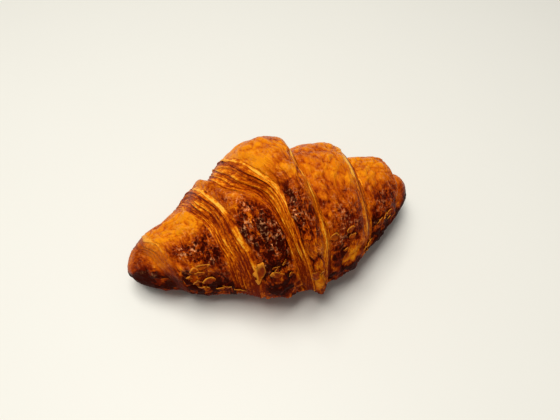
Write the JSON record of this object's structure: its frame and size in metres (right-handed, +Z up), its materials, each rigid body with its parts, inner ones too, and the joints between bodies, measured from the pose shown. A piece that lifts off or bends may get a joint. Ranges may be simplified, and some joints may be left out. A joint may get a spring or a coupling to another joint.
{
  "type": "croissant",
  "caption": "Baked butter croissant: a wound spindle of layered dough with stepped lobes, banded edges and a tail that hangs at the front; rests on its flat base.",
  "frame": {"origin": "centre of the footprint, on the surface it rests on", "axes": "+X along the length, with the paler tapering end at -X; the tail's point hangs at the front, -Y; +Z up"},
  "size_m": [0.15, 0.0858, 0.0632],
  "materials": {
    "crust": "egg-washed browned crust, satin to glossy, with paler cut layers"
  },
  "bodies": {
    "root": {"croissant": "crust"}
  },
  "joints": []
}
